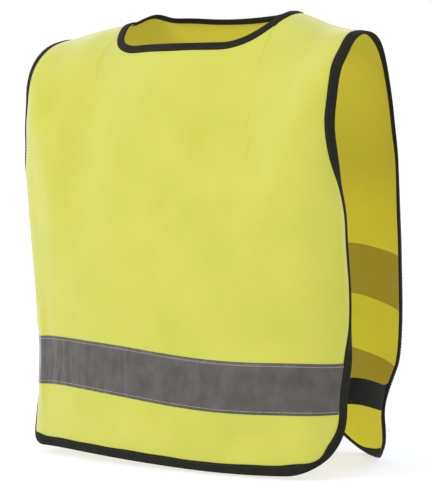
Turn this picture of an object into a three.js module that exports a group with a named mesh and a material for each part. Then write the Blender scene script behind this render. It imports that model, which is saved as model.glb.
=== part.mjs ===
// High visibility tabard vest: a front and a back panel of knitted mesh cloth that hang from the
// wearer's shoulders, every raw edge bound in black tape, 50 mm reflective bands across the body
// and an elastic strap that joins the two panels at each side.
//
// Millimetres, +Z up, -Y is the wearer's front and +X the wearer's left. The origin is the middle
// of the line on which the vest hangs from the shoulders.
//
// Each panel is a flat pattern laid on a curved body. A place on it is (s, q): s is the distance
// across from the centre line, and q runs up the body, 0 where the shoulder dome springs from the
// straight lower part and 1 at the crest of the shoulder.
import * as THREE from 'three';
import { LoftGeometry } from 'three/addons/geometries/LoftGeometry.js';

// Pattern of one panel
const HEM_Z = -425;
const HALF_WIDTH = 210;
const CORNER_R = 60;
const CORNER_TOP_Z = HEM_Z + CORNER_R;
const CORNER_MID_ANGLE = Math.PI / 4;
const ARMHOLE_LOW_Z = -190;
const ARMHOLE_HIGH_Z = -85;
const ARMHOLE_DEPTH = 22;
const ARMHOLE_FLARE = 3.6;
const NECK_HALF_X = 100;
const TIP_HALF_X = 183;
const NECK_POINT_Z = 9.5;
const TIP_Z = -11;

// Plan of the body: nearly flat across the chest, then wrapping round to the side
const CHEST_R = 700;
const CHEST_SPAN = 150;
const SIDE_R = 58;

// Front and back differ in depth, in how far the shoulder dome reaches down and in the neckline
const FRONT = { side: -1, depth: 105, domeNeck: 300, domeTip: 60, crestGap: 6.5, neckZ: frontNeckZ };
const BACK = { side: 1, depth: 100, domeNeck: 262, domeTip: 85, crestGap: 2.2, neckZ: backNeckZ };
const DOME_START_X = 80;

// Front neckline: straight across the middle, then a quarter ellipse up to the shoulder
const FRONT_NECK_Z = -22;
const FRONT_NECK_FLAT = 50;
const FRONT_NECK_RISE = 70;
const FRONT_NECK_REACH = 60;
const BACK_NECK_Z = 5;
const BACK_NECK_RISE = 4.3;

// Thicknesses and clearances, measured from the middle of the cloth
const CLOTH_HALF = 0.4;
const GAP = 0.4;
const TAPE_GAP = 0.6;
const TAPE_WALL = 0.6;
const TAPE_WIDTH = CORNER_R * (1 - Math.cos(Math.PI / 6));
const BAND_HEIGHT = 50;
const BAND_THICK = 0.5;
const THREAD_WIDTH = 0.8;
const THREAD_HIGH = 0.5;
const THREAD_INSET = 3;
const STRAP_WIDTH = 25;
const STRAP_THICK = 1.2;
const STRAP_OVERLAP = 11;
const STRAP_FRONT_Z = -349;
const STRAP_BACK_Z = -363;
const TACK = { across: 2, high: 18, thick: 0.8 };
const SEAM = { start: 104, end: 174, halfWide: 1.8, thick: 1.2, steps: 6 };

// Grid of one panel: shares of the half width for the inner columns, and levels of the rows
const NECK_S = CHEST_R * Math.asin(NECK_HALF_X / CHEST_R);
const CREST_HALF_WIDTH = HALF_WIDTH - ARMHOLE_DEPTH + ARMHOLE_FLARE;
const NECK_SHARE = NECK_S / CREST_HALF_WIDTH;
const COLUMN_SHARES = [0.26, 0.33, 0.4, 0.46, 0.49, 0.51, NECK_SHARE, 0.62, 0.7];
const SIDE_COLUMNS = 5;
const CORNER_LEVELS = [0, 0.2, 0.45, 0.7, 1];
const STRAIGHT_ROWS = [-315, -279.5];
const DOME_ROWS = 16;

const MATERIALS = {
  cloth: { color: 0xdada5e, roughness: 0.85, metalness: 0 },
  tape: { color: 0x221f19, roughness: 0.8, metalness: 0 },
  reflective: { color: 0x6c6963, roughness: 0.45, metalness: 0 },
  bandThread: { color: 0xa5a29a, roughness: 0.7, metalness: 0 },
  blackThread: { color: 0x2c2a24, roughness: 0.7, metalness: 0 },
  elastic: { color: 0x1f201a, roughness: 0.9, metalness: 0 },
};

const { clamp, lerp, smoothstep } = THREE.MathUtils;

// ---- the body that the panels lie on ----

function planCurve(s) {
  const across = Math.abs(s);
  const chestAngle = Math.min(across, CHEST_SPAN) / CHEST_R;
  const sideAngle = chestAngle + Math.max(0, across - CHEST_SPAN) / SIDE_R;
  const x = CHEST_R * Math.sin(chestAngle) + SIDE_R * (Math.sin(sideAngle) - Math.sin(chestAngle));
  const setBack = CHEST_R * (1 - Math.cos(chestAngle))
    + SIDE_R * (Math.cos(chestAngle) - Math.cos(sideAngle));
  return { x: Math.sign(s) * x, setBack };
}

function shoulderZ(x) {
  return NECK_POINT_Z + (TIP_Z - NECK_POINT_Z) * (Math.abs(x) - NECK_HALF_X) / (TIP_HALF_X - NECK_HALF_X);
}

function domeHeight(panel, x) {
  return lerp(panel.domeNeck, panel.domeTip, smoothstep(Math.abs(x), DOME_START_X, TIP_HALF_X));
}

function bodyPoint(panel, s, q) {
  const { x, setBack } = planCurve(s);
  const high = domeHeight(panel, x);
  const angle = q * Math.PI / 2;
  const z = shoulderZ(x) - high + high * (q > 0 ? Math.sin(angle) : angle);
  const y = (panel.depth - setBack) * (q > 0 ? Math.cos(angle) : 1);
  return new THREE.Vector3(x, panel.side * y, z);
}

function bodyNormal(panel, s, q) {
  const step = 0.01;
  const across = bodyPoint(panel, s + step, q).sub(bodyPoint(panel, s - step, q));
  const up = bodyPoint(panel, s, q + step / 100).sub(bodyPoint(panel, s, q - step / 100));
  return across.cross(up).normalize().multiplyScalar(-panel.side);
}

function levelOf(panel, s, z) {
  const { x } = planCurve(s);
  const high = domeHeight(panel, x);
  const rise = (z - shoulderZ(x) + high) / high;
  return (rise > 0 ? Math.asin(Math.min(1, rise)) : rise) * 2 / Math.PI;
}

// ---- the flat pattern ----

function frontNeckZ(x) {
  const reach = Math.min(1, Math.max(0, Math.abs(x) - FRONT_NECK_FLAT) / FRONT_NECK_REACH);
  return FRONT_NECK_Z + FRONT_NECK_RISE * (1 - Math.sqrt(1 - reach * reach));
}

function backNeckZ(x) {
  return BACK_NECK_Z + BACK_NECK_RISE * (x / NECK_HALF_X) ** 2;
}

function topLevel(panel, s) {
  const { x, setBack } = planCurve(s);
  const crest = Math.acos(panel.crestGap / (panel.depth - setBack)) * 2 / Math.PI;
  if (Math.abs(x) > NECK_HALF_X) return crest;
  return Math.min(crest, levelOf(panel, s, panel.neckZ(x)));
}

function halfWidthAt(z) {
  if (z < CORNER_TOP_Z) {
    return HALF_WIDTH - CORNER_R + Math.sqrt(CORNER_R ** 2 - (CORNER_TOP_Z - z) ** 2);
  }
  const flare = ARMHOLE_FLARE * clamp((z - ARMHOLE_HIGH_Z) / (TIP_Z - ARMHOLE_HIGH_Z), 0, 1) ** 2;
  return HALF_WIDTH - ARMHOLE_DEPTH * smoothstep(z, ARMHOLE_LOW_Z, ARMHOLE_HIGH_Z) + flare;
}

function hemZ(s) {
  const past = Math.abs(s) - (HALF_WIDTH - CORNER_R);
  return past > 0 ? CORNER_TOP_Z - Math.sqrt(CORNER_R ** 2 - past ** 2) : HEM_Z;
}

// Columns of the panel grid for one half width: the last two stand a tape's width apart
function columnsAt(half) {
  const positive = COLUMN_SHARES.map((share) => share * half);
  const start = positive.at(-1);
  for (let i = 1; i <= SIDE_COLUMNS; i += 1) {
    positive.push(lerp(start, half - TAPE_WIDTH, i / SIDE_COLUMNS));
  }
  positive.push(half);
  return [...positive.map((s) => -s).reverse(), ...positive];
}

// The half width depends on the height, and the height of a dome row on the place across
function domePlace(panel, column, levelAt) {
  let s = columnsAt(CREST_HALF_WIDTH)[column];
  for (let i = 0; i < 6; i += 1) {
    s = columnsAt(halfWidthAt(bodyPoint(panel, s, levelAt(s)).z))[column];
  }
  return { s, q: levelAt(s) };
}

function slopeFactor(panel, s) {
  const step = 0.5;
  const a = bodyPoint(panel, s - step, topLevel(panel, s - step));
  const b = bodyPoint(panel, s + step, topLevel(panel, s + step));
  return Math.min(2, a.distanceTo(b) / (2 * step));
}

function panelGrid(panel) {
  const count = columnsAt(HALF_WIDTH).length;
  const rows = [];
  for (const share of CORNER_LEVELS) {
    const edgeZ = lerp(hemZ(HALF_WIDTH - CORNER_R * (1 - Math.sin(CORNER_MID_ANGLE))), CORNER_TOP_Z, share);
    const hemColumns = columnsAt(HALF_WIDTH - CORNER_R * (1 - Math.sin(CORNER_MID_ANGLE)));
    rows.push(columnsAt(halfWidthAt(edgeZ)).map((s, i) => {
      const z = lerp(hemZ(hemColumns[i]), CORNER_TOP_Z, share);
      return { s, q: levelOf(panel, s, z) };
    }));
  }
  for (const z of STRAIGHT_ROWS) {
    rows.push(columnsAt(halfWidthAt(z)).map((s) => ({ s, q: levelOf(panel, s, z) })));
  }
  const lastStraight = STRAIGHT_ROWS.at(-1);
  const borderLevel = (s) => {
    const top = topLevel(panel, s);
    const mm = bodyPoint(panel, s, top).distanceTo(bodyPoint(panel, s, top - 0.01)) / 0.01;
    return top - TAPE_WIDTH * slopeFactor(panel, s) / mm;
  };
  for (let row = 1; row <= DOME_ROWS; row += 1) {
    const levelAt = (s) => lerp(levelOf(panel, s, lastStraight), borderLevel(s), row / DOME_ROWS);
    rows.push(Array.from({ length: count }, (_, i) => domePlace(panel, i, levelAt)));
  }
  rows.push(Array.from({ length: count }, (_, i) => domePlace(panel, i, (s) => topLevel(panel, s))));
  return rows;
}

// ---- solids ----

function place(panel, at, lift) {
  return bodyPoint(panel, at.s, at.q).addScaledVector(bodyNormal(panel, at.s, at.q), lift);
}

// A sheet of even thickness over a grid of places: two skins and a rim round the edge. The cells
// are split along the same diagonals as the tape that folds over them, so both stay parallel
function sheetGeometry(panel, rows) {
  const width = rows[0].length;
  const skins = [CLOTH_HALF, -CLOTH_HALF];
  const points = skins.flatMap((lift) => rows.flat().map((at) => place(panel, at, lift)));
  const inner = rows.length * width;
  const index = [];
  const quad = (loop, first) => {
    const [a, b, c, d] = [...loop.slice(first), ...loop.slice(0, first)];
    index.push(a, b, c, a, c, d);
  };
  const first = panel.side < 0 ? 1 : 0;
  for (let r = 0; r < rows.length - 1; r += 1) {
    for (let c = 0; c < width - 1; c += 1) {
      const corner = r * width + c;
      const loop = [corner, corner + 1, corner + width + 1, corner + width];
      quad(loop, first);
      quad([loop[0], loop[3], loop[2], loop[1]].map((i) => inner + i), 1 - first);
    }
  }
  const rim = [];
  for (let c = 0; c < width - 1; c += 1) rim.push(c);
  for (let r = 0; r < rows.length - 1; r += 1) rim.push(r * width + width - 1);
  for (let c = width - 1; c > 0; c -= 1) rim.push((rows.length - 1) * width + c);
  for (let r = rows.length - 1; r > 0; r -= 1) rim.push(r * width);
  rim.forEach((a, i) => {
    const b = rim[(i + 1) % rim.length];
    quad([inner + a, inner + b, b, a], 0);
  });
  if (panel.side > 0) index.reverse();
  const geometry = new THREE.BufferGeometry().setFromPoints(points);
  geometry.setIndex(index);
  geometry.computeVertexNormals();
  return geometry;
}

function middleOf(ring) {
  return ring.reduce((sum, point) => sum.add(point), new THREE.Vector3()).divideScalar(ring.length);
}

// The direction that a ring of points winds about
function windingAxis(ring) {
  const middle = middleOf(ring);
  return ring.reduce((sum, point, i) => {
    const next = ring[(i + 1) % ring.length].clone().sub(middle);
    return sum.add(point.clone().sub(middle).cross(next));
  }, new THREE.Vector3());
}

// A run of like sections skinned into one closed solid, with its faces outwards
function skin(sections) {
  const half = Math.floor(sections.length / 2);
  const onward = middleOf(sections[half]).sub(middleOf(sections[half - 1]));
  const turned = windingAxis(sections[half]).dot(onward) < 0;
  const rings = turned ? sections.map((ring) => ring.slice().reverse()) : sections;
  return new LoftGeometry(rings, { capStart: true, capEnd: true });
}

// Stations along a bound edge: the place on the edge and the one a tape's width inside it
function sideStation(at) {
  return { edge: at, inset: { s: at.s - Math.sign(at.s) * TAPE_WIDTH, q: at.q } };
}

function cornerStation(panel, at) {
  const z = bodyPoint(panel, at.s, at.q).z;
  const towards = Math.sign(at.s) * Math.min(Math.abs(at.s), HALF_WIDTH - CORNER_R);
  const share = TAPE_WIDTH / CORNER_R;
  const inset = { s: lerp(at.s, towards, share), z: lerp(z, CORNER_TOP_Z, share) };
  return { edge: at, inset: { s: inset.s, q: levelOf(panel, inset.s, inset.z) } };
}

function bodyEdgeStations(panel, grid) {
  const sideRows = grid.slice(CORNER_LEVELS.length - 1);
  const cornerRows = grid.slice(1, CORNER_LEVELS.length - 1);
  const first = [...sideRows.map((row) => sideStation(row[0])).reverse(),
    ...cornerRows.map((row) => cornerStation(panel, row[0])).reverse()];
  const last = [...cornerRows.map((row) => cornerStation(panel, row.at(-1))),
    ...sideRows.map((row) => sideStation(row.at(-1)))];
  return [...first, ...grid[0].map((at) => cornerStation(panel, at)), ...last];
}

function neckStations(grid) {
  const border = grid.at(-2);
  const top = grid.at(-1);
  return top.map((edge, i) => ({ edge, inset: border[i] }))
    .filter(({ edge }) => Math.abs(edge.s) < NECK_S + 0.01);
}

// Frame of one station: the two points on the cloth, their normals, and the way past the edge,
// which is longer than a unit where the station crosses the edge at a slant
function stationFrame(panel, stations, i) {
  const at = (k) => bodyPoint(panel, stations[k].edge.s, stations[k].edge.q);
  const along = at(Math.min(i + 1, stations.length - 1)).sub(at(Math.max(i - 1, 0)));
  const { edge, inset } = stations[i];
  const edgeNormal = bodyNormal(panel, edge.s, edge.q);
  const square = along.cross(edgeNormal).normalize();
  const edgePoint = bodyPoint(panel, edge.s, edge.q);
  const insetPoint = bodyPoint(panel, inset.s, inset.q);
  const out = edgePoint.clone().sub(insetPoint).normalize();
  out.divideScalar(Math.abs(out.dot(square)));
  return { edgePoint, insetPoint, edgeNormal, insetNormal: bodyNormal(panel, inset.s, inset.q), out };
}

function bindingGeometry(panel, stations) {
  const [near, far] = [CLOTH_HALF + TAPE_GAP, CLOTH_HALF + TAPE_GAP + TAPE_WALL];
  const sections = stations.map((_, i) => {
    const f = stationFrame(panel, stations, i);
    const atInset = (lift) => f.insetPoint.clone().addScaledVector(f.insetNormal, lift);
    const atEdge = (lift, past) => f.edgePoint.clone().addScaledVector(f.edgeNormal, lift)
      .addScaledVector(f.out, past);
    return [atInset(far), atEdge(far, GAP + TAPE_WALL), atEdge(-far, GAP + TAPE_WALL), atInset(-far),
      atInset(-near), atEdge(-near, GAP), atEdge(near, GAP), atInset(near)];
  });
  return skin(sections);
}

// A sewn thread: a ridge of three-sided section that stands just clear of what it is sewn through
function threadSection(point, normal, across) {
  const half = across.clone().setLength(THREAD_WIDTH / 2);
  return [point.clone().sub(half), point.clone().add(half), point.clone().addScaledVector(normal, THREAD_HIGH)];
}

function bindingThread(panel, stations) {
  const lift = CLOTH_HALF + TAPE_GAP + TAPE_WALL + TAPE_GAP;
  const share = 0.75;
  return skin(stations.map((_, i) => {
    const f = stationFrame(panel, stations, i);
    const point = f.edgePoint.lerp(f.insetPoint, share);
    const normal = f.edgeNormal.lerp(f.insetNormal, share).normalize();
    return threadSection(point.addScaledVector(normal, lift), normal, f.out);
  }));
}

function bandColumns() {
  const end = HALF_WIDTH - TAPE_WIDTH - GAP;
  const inside = columnsAt(HALF_WIDTH).filter((s) => Math.abs(s) < end - 1);
  return [-end, ...inside, end];
}

function bandGeometry(panel, topZ) {
  const near = CLOTH_HALF + GAP;
  return skin(bandColumns().map((s) => {
    const at = (z, lift) => place(panel, { s, q: levelOf(panel, s, z) }, lift);
    const low = topZ - BAND_HEIGHT;
    return [at(low, near), at(low, near + BAND_THICK), at(topZ, near + BAND_THICK), at(topZ, near)];
  }));
}

function bandThread(panel, z) {
  const lift = CLOTH_HALF + GAP + BAND_THICK + GAP;
  return skin(bandColumns().map((s) => {
    const at = { s, q: levelOf(panel, s, z) };
    return threadSection(place(panel, at, lift), bodyNormal(panel, at.s, at.q), new THREE.Vector3(0, 0, 1));
  }));
}

// Elastic strap: sewn flat inside both bound edges, and straight across the gap between them
function strapEnd(panel, hand, z, overlap, lift) {
  const s = hand * (HALF_WIDTH - overlap);
  return place(panel, { s, q: levelOf(panel, s, z) }, -lift);
}

function strapPath(hand) {
  const lift = CLOTH_HALF + TAPE_GAP + TAPE_WALL + GAP + STRAP_THICK / 2;
  return new THREE.CatmullRomCurve3([
    strapEnd(FRONT, hand, STRAP_FRONT_Z, STRAP_OVERLAP, lift),
    strapEnd(FRONT, hand, STRAP_FRONT_Z, STRAP_OVERLAP / 2, lift),
    strapEnd(FRONT, hand, STRAP_FRONT_Z, 0, lift),
    strapEnd(BACK, hand, STRAP_BACK_Z, 0, lift),
    strapEnd(BACK, hand, STRAP_BACK_Z, STRAP_OVERLAP / 2, lift),
    strapEnd(BACK, hand, STRAP_BACK_Z, STRAP_OVERLAP, lift),
  ], false, 'centripetal');
}

function strapGeometry(hand) {
  const path = strapPath(hand);
  const steps = 20;
  return skin(Array.from({ length: steps + 1 }, (_, i) => {
    const point = path.getPoint(i / steps);
    const along = path.getTangent(i / steps);
    const side = new THREE.Vector3(0, 0, 1).cross(along).setLength(STRAP_THICK / 2);
    const up = along.clone().cross(side).setLength(STRAP_WIDTH / 2);
    const corner = (a, b) => point.clone().addScaledVector(side, a).addScaledVector(up, b);
    return [corner(-1, -1), corner(1, -1), corner(1, 1), corner(-1, 1)];
  }));
}

// Bar tack: the dense block of thread that holds one end of a strap
function tackGeometry(panel, hand, z) {
  const lift = CLOTH_HALF + TAPE_GAP + TAPE_WALL + GAP + STRAP_THICK + GAP;
  const s = hand * (HALF_WIDTH - STRAP_OVERLAP * 0.6);
  const q = levelOf(panel, s, z);
  const normal = bodyNormal(panel, s, q).negate();
  const up = new THREE.Vector3(0, 0, 1);
  const across = up.clone().cross(normal).normalize();
  const turn = new THREE.Matrix4().makeBasis(across, normal.clone().cross(across), normal);
  const geometry = new THREE.BoxGeometry(TACK.across, TACK.high, TACK.thick);
  geometry.applyMatrix4(turn);
  const middle = place(panel, { s, q }, -(lift + TACK.thick / 2));
  geometry.translate(middle.x, middle.y, middle.z);
  return geometry;
}

function seamGeometry(hand) {
  return skin(Array.from({ length: SEAM.steps + 1 }, (_, i) => {
    const x = lerp(SEAM.start, SEAM.end, i / SEAM.steps);
    const corner = (a, b) => new THREE.Vector3(hand * x, a * SEAM.halfWide, shoulderZ(x) + b * SEAM.thick / 2);
    return [corner(-1, -1), corner(1, -1), corner(1, 1), corner(-1, 1)];
  }));
}

// ---- the assembly ----

function piece(name, geometry, finish) {
  const mesh = new THREE.Mesh(geometry, new THREE.MeshStandardMaterial(MATERIALS[finish]));
  mesh.name = name;
  return mesh;
}

function panelGroup(panel, label, bandTops) {
  const grid = panelGrid(panel);
  const edge = bodyEdgeStations(panel, grid);
  const neck = neckStations(grid);
  const group = new THREE.Group();
  group.add(
    piece(`${label}_panel`, sheetGeometry(panel, grid), 'cloth'),
    piece(`${label}_edge_binding`, bindingGeometry(panel, edge), 'tape'),
    piece(`${label}_edge_binding_stitching`, bindingThread(panel, edge), 'blackThread'),
    piece(`${label}_neck_binding`, bindingGeometry(panel, neck), 'tape'),
    piece(`${label}_neck_binding_stitching`, bindingThread(panel, neck.slice(1, -1)), 'blackThread'),
  );
  for (const [name, topZ] of Object.entries(bandTops)) {
    const rows = { upper: topZ - THREAD_INSET, lower: topZ - BAND_HEIGHT + THREAD_INSET };
    group.add(piece(name, bandGeometry(panel, topZ), 'reflective'));
    for (const [row, z] of Object.entries(rows)) {
      group.add(piece(`${name}_${row}_stitching`, bandThread(panel, z), 'bandThread'));
    }
  }
  return group;
}

const FRONT_BANDS = { front_reflective_band: -315 };
const BACK_BANDS = { back_upper_reflective_band: -223, back_lower_reflective_band: -317 };
const HANDS = { left: 1, right: -1 };

const vest = new THREE.Group();
vest.add(panelGroup(FRONT, 'front', FRONT_BANDS), panelGroup(BACK, 'back', BACK_BANDS));
for (const [label, hand] of Object.entries(HANDS)) {
  vest.add(
    piece(`${label}_shoulder_seam`, seamGeometry(hand), 'blackThread'),
    piece(`${label}_side_strap`, strapGeometry(hand), 'elastic'),
    piece(`${label}_strap_front_tack`, tackGeometry(FRONT, hand, STRAP_FRONT_Z), 'blackThread'),
    piece(`${label}_strap_back_tack`, tackGeometry(BACK, hand, STRAP_BACK_Z), 'blackThread'),
  );
}

export default vest;
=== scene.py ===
"""High visibility tabard vest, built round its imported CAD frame.

Two panels of fluorescent knitted polyester hang from the shoulders. Black tape binds every edge,
50 mm reflective bands cross the body, and an elastic strap joins the panels at each side.

Shapes are worked out in millimetres and turned to metres when a mesh is made. A place on a panel is
(s, q): s is the distance across the flat pattern from its centre line, and q runs up the body, 0
where the shoulder dome springs from the straight lower part and 1 at the crest of the shoulder.
"""

import math
from dataclasses import dataclass

import bpy
import numpy as np
from mathutils import Matrix, Vector


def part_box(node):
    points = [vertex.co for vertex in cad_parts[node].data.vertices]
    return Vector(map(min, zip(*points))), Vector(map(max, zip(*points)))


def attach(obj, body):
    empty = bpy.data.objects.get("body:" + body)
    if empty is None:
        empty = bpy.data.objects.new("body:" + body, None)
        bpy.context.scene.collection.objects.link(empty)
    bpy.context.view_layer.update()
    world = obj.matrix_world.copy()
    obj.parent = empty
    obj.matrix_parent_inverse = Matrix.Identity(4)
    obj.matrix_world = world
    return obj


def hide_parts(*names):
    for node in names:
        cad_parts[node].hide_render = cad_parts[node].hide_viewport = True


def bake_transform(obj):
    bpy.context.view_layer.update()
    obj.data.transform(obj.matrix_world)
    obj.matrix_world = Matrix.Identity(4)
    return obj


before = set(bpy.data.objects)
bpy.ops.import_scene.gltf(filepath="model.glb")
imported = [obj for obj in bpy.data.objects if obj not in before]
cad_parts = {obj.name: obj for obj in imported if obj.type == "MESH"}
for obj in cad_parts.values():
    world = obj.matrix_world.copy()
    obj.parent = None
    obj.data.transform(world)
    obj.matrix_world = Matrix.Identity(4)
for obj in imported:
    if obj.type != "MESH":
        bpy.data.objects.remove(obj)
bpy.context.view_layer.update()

bl_info = {
    "name": "High Visibility Vest",
    "version": (1, 0, 0),
    "blender": (4, 5, 0),
    "location": "View3D > Sidebar > Vest",
    "description": "Builds a child's pull-over high visibility vest round its CAD frame",
    "category": "Object",
}

MM = 0.001
SIDES = (("left", 1), ("right", -1))


# ---------------------------------------------------------------- the cut pattern, in millimetres

HEM_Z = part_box("front_panel")[0].z / MM
HALF_WIDTH = 210.0
CORNER_R = 60.0
CORNER_TOP_Z = HEM_Z + CORNER_R
STRAIGHT_TOP_Z = -279.5
ARMHOLE_LOW_Z = -190.0
ARMHOLE_HIGH_Z = -85.0
ARMHOLE_DEPTH = 22.0
ARMHOLE_FLARE = 3.6
TIP_HALF_X = 183.0
TIP_Z = -11.0
CREST_HALF_WIDTH = HALF_WIDTH - ARMHOLE_DEPTH + ARMHOLE_FLARE
NECK_HALF_X = 100.0
NECK_POINT_Z = 9.5
FRONT_NECK_Z = -22.0
FRONT_NECK_FLAT = 50.0
FRONT_NECK_TURN = 60.0
FRONT_NECK_RISE = 70.0
BACK_NECK_Z = 5.0
BACK_NECK_RISE = 4.3

# Plan of the body: nearly flat across the chest, then wrapping round to the side
CHEST_R = 700.0
CHEST_SPAN = 150.0
SIDE_R = 58.0
DOME_START_X = 80.0
NECK_S = CHEST_R * math.asin(NECK_HALF_X / CHEST_R)
# The two shoulder slopes meet in a round over the centre line, not in a point
CENTRE_ROUND = 12.0

# Thicknesses, measured out from the middle of the cloth
CLOTH_HALF = 0.4
BAND_LIFT = 0.45
BAND_THICK = 0.5
TAPE_WALL = 0.35
TAPE_BULGE = 0.95
TAPE_STAND = 1.0
STRAP_THICK = 1.3
CREST_GAP = 0.35
# The neck tapes end along the shoulder seam over this distance
MITRE_REACH = 6.0

# Spacing of the points over the cloth and along its edges
MESH_STEP = 3.0
EDGE_STEP = 2.5
# The dome's arc is about this much longer than its height
DOME_STRETCH = 1.15
# Rounds in which a place on the dome and its level settle to each other
SETTLING_ROUNDS = 8
# Small steps of s and q, over which slopes are measured
SLOPE_S = 0.3
SLOPE_Q = 0.002


def smooth(value, low, high):
    share = np.clip((value - low) / (high - low), 0, 1)
    return share * share * (3 - 2 * share)


def blend_between(a, b, share):
    return a + (b - a) * share


def eased(at, knots, values):
    """Values carried smoothly from knot to knot, and held past the ends."""
    slopes = np.gradient(values, knots, axis=0)
    low = np.clip(np.searchsorted(knots, at, side="right") - 1, 0, len(knots) - 2)
    span = (knots[low + 1] - knots[low])[..., None]
    t = np.clip((at - knots[low])[..., None] / span, 0, 1)
    start = values[low] * (1 + 2 * t) + slopes[low] * span * t
    end = values[low + 1] * (3 - 2 * t) - slopes[low + 1] * span * (1 - t)
    return start * (1 - t) ** 2 + end * t * t


def front_neck_z(x):
    reach = np.clip((np.abs(x) - FRONT_NECK_FLAT) / FRONT_NECK_TURN, 0, 1)
    return FRONT_NECK_Z + FRONT_NECK_RISE * (1 - np.sqrt(1 - reach * reach))


def back_neck_z(x):
    return BACK_NECK_Z + BACK_NECK_RISE * (x / NECK_HALF_X) ** 2


@dataclass
class PanelCut:
    """What differs between the two panels, and how each one hangs."""

    name: str
    side: int
    depth: float
    dome_neck: float
    dome_tip: float
    neck_z: object
    folds: tuple
    drifts: tuple
    curls: tuple
    ease: tuple
    pull: float


# Each fold: where it starts and ends on the pattern (s, z), its half width and its height out
FRONT_FOLDS = (
    ((-150, -10), (-196, -110), 14, -3.5),
    ((-118, -40), (-130, -190), 12, 2.0),
    ((-165, -120), (-150, -330), 12, -2.0),
    ((-186, -150), (-180, -300), 9, 2.0),
    ((60, -118), (110, -125), 13, -2.5),
    ((22, -178), (86, -186), 9, -3.0),
    ((40, -190), (130, -270), 16, 2.5),
    ((36, -300), (84, -306), 16, -2.5),
    ((-60, -120), (-75, -300), 20, 1.5),
    ((-20, -395), (70, -408), 10, 1.8),
    ((100, -390), (150, -378), 9, -1.8),
    ((-162, -290), (-157, -375), 5, 2.4),
)
BACK_FOLDS = (
    ((-60, -60), (-90, -260), 20, 2.0),
    ((70, -50), (100, -230), 18, -2.0),
    ((20, -290), (120, -310), 14, -1.5),
    ((-140, -300), (-60, -330), 14, 1.5),
)

# Each drift: its middle on the pattern (s, z), how far it reaches each way, and the move x, y, z
FRONT_DRIFTS = (
    ((-210, -330), (75, 140), (20, 0, 0)),
    ((-200, -105), (50, 35), (-5, 0, 0)),
    ((-130, -370), (80, 90), (0, 0, 6)),
    ((95, -330), (110, 80), (0, 0, -8.5)),
    ((205, -335), (40, 60), (0, 0, -4)),
    ((-30, -340), (60, 80), (0, 0, 1.5)),
    ((-190, -340), (35, 50), (0, 0, -2)),
    ((100, -425), (80, 30), (0, 0, -1)),
)
BACK_DRIFTS = (
    ((205, -345), (75, 60), (0, 0, -20)),
    ((205, -250), (60, 60), (0, 0, -8)),
    ((76, -440), (30, 45), (0, 0, 19)),
    ((130, -440), (26, 40), (0, 0, -6)),
    ((20, -440), (50, 45), (0, 0, 13)),
    ((-60, -440), (60, 45), (0, 0, 10)),
    ((-205, -330), (60, 90), (0, 0, -8)),
    ((110, -250), (50, 60), (0, 0, 7)),
    ((-99, 8), (26, 25), (0, 0, 11)),
    ((-55, 8), (32, 25), (0, 0, 4.5)),
    ((0, 8), (50, 25), (0, 0, 3)),
    ((70, 8), (45, 25), (0, 0, 3)),
)
# Moves that both panels share, so that they stay together along the shoulder seams
SHOULDER_DRIFTS = (
    ((-98, 4), (28, 22), (6, 4, -1)),
    ((-100, 0), (40, 60), (0, 0, -4)),
    ((-170, 0), (50, 60), (0, 0, -3)),
    ((150, 0), (30, 60), (0, 0, -5)),
    ((192, -8), (25, 30), (0, 0, -1.5)),
)
# How the right-hand edge of each panel has settled: the height on the pattern and the move x, y, z.
# The armhole closes to a point at the shoulder, the sides hang, and the elastic draws the back in.
FRONT_EASE = (
    (-11, (0, 0, 0)),
    (-25, (4, 3, -4)),
    (-50, (7, 4, -2)),
    (-130, (2, 1, -1)),
    (-200, (4, 3, -2)),
    (-280, (7, 5, -1)),
    (-345, (0, 0, 0)),
    (-426, (0, 0, 4)),
)
BACK_EASE = (
    (-11, (0, 0, 0)),
    (-25, (-3, -2, -1)),
    (-140, (-3, -2, 0)),
    (-220, (0, 0, 0)),
    (-300, (0, 0, 1)),
    (-366, (-8, -5, 2)),
    (-405, (-1, 0, -1)),
    (-426, (-3, -2, 0)),
)
EASE_REACH = 45.0
# Folds and drifts fade out this close to the shoulder seams
FREE_DEPTH = 24.0
# Each curl: which side edge, how far in from the edge it starts, its top and bottom, its strength
FRONT_CURLS = ((1, 18, -115, -325, -0.03), (-1, 26, -340, -490, 0.006))
BACK_CURLS = ((1, 22, -330, -490, 0.014),)
CURL_FADE = 50.0
# The hem of the back turns out near its right-hand corner
HEM_ROLL = 13.0
HEM_ROLL_STRENGTH = 0.05
HEM_ROLL_S = 118.0
HEM_ROLL_REACH = 36.0
# The back of the neck rolls over towards the wearer
NECK_ROLL = 12.0
NECK_ROLL_STRENGTH = -0.03
NECK_ROLL_FLAT = 60.0
NECK_ROLL_END = 92.0
# Below this height the elastics draw the sides of the back in, the more the nearer to the edge
PULL_TOP_Z = -315.0
PULL_START_S = 120.0
PULL_FULL_S = 215.0

FRONT = PanelCut(
    name="front", side=-1, depth=105, dome_neck=300, dome_tip=60, neck_z=front_neck_z, folds=FRONT_FOLDS,
    drifts=FRONT_DRIFTS, curls=FRONT_CURLS, ease=FRONT_EASE, pull=0.0)
BACK = PanelCut(
    name="back", side=1, depth=100, dome_neck=262, dome_tip=85, neck_z=back_neck_z, folds=BACK_FOLDS,
    drifts=BACK_DRIFTS, curls=BACK_CURLS, ease=BACK_EASE, pull=0.4)


# ---------------------------------------------------------------- sewing, in millimetres

# Each stitch: the distance to the next one, its length and the radius of its thread
BINDING_STITCH = (3.2, 2.5, 0.32)
BAND_STITCH = (3.0, 2.4, 0.3)
SEAM_STITCH = (3.0, 2.3, 0.28)
TACK_STITCH = (1.2, 1.6, 0.35)
TAPE_STITCH_INSET = 1.8
# A band's ends go under the side tapes by this much
BAND_TUCK = 1.5
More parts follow.
